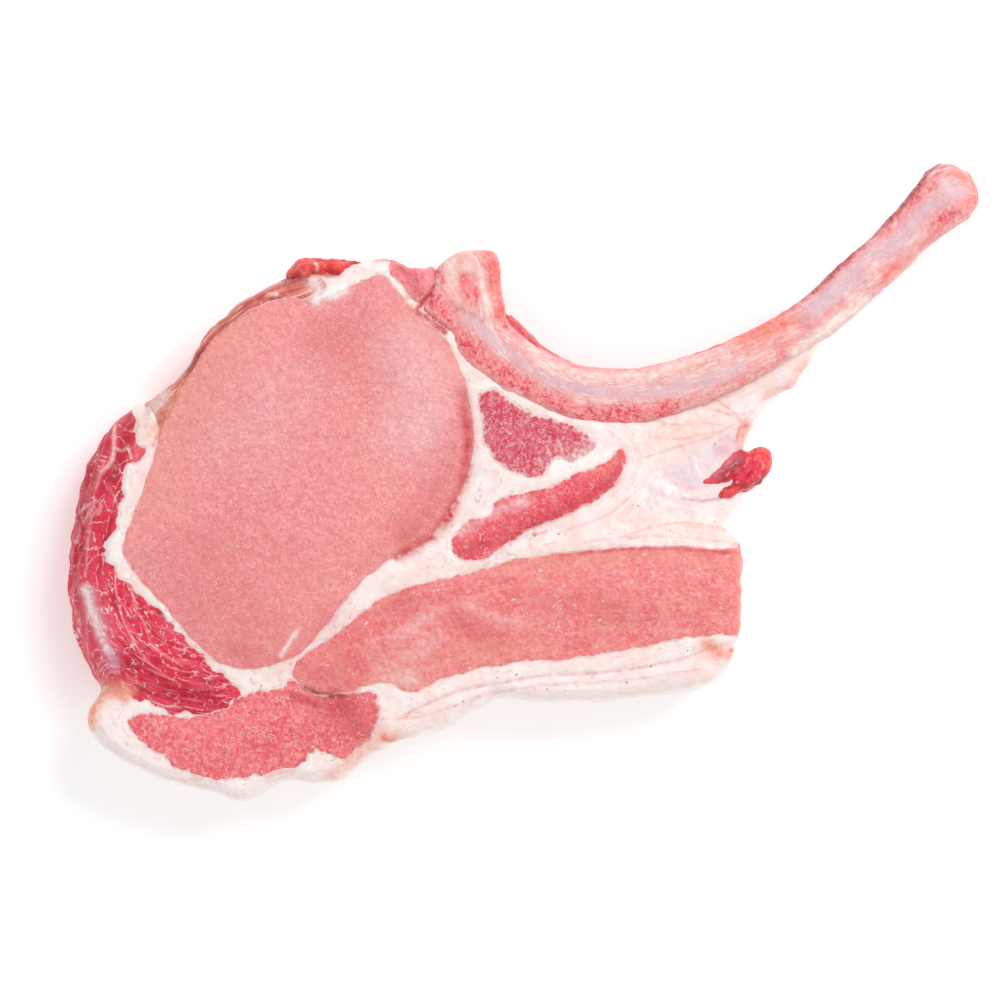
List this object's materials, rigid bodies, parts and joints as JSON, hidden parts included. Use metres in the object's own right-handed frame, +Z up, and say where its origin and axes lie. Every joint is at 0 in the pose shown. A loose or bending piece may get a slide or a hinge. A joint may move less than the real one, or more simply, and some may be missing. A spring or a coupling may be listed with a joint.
{
  "type": "raw pork chop",
  "caption": "Raw bone-in pork rib chop lying flat: pale loin eye, darker cap, belly strip and white fat around a curved rib with a bare end.",
  "frame": {"origin": "middle of the bounding box, on the surface the chop lies on", "axes": "+X towards the bare end of the rib, +Y towards the backbone, +Z up out of the shown cut face"},
  "size_m": [0.2188, 0.1532, 0.0278],
  "materials": {
    "bone": "satin",
    "loose_meat": "satin",
    "loin_meat": "satin",
    "cap_meat": "satin",
    "belly_meat": "satin",
    "rib_meat": "satin",
    "side_meat": "satin",
    "lower_meat": "satin",
    "rib_bed_meat": "satin",
    "fat": "satin"
  },
  "bodies": {
    "root": {"rib_bone": "bone", "red_nub": "loose_meat", "top_scrap": "loose_meat", "loin_eye": "loin_meat", "cap_muscle": "cap_meat", "belly_muscle": "belly_meat", "spine_muscle": "belly_meat", "rib_muscle_upper": "rib_meat", "rib_muscle_lower": "rib_meat", "side_strip": "side_meat", "lower_muscle": "lower_meat", "rib_bed_muscle": "rib_bed_meat", "seam_fat": "fat", "outer_fat": "fat"}
  },
  "joints": []
}
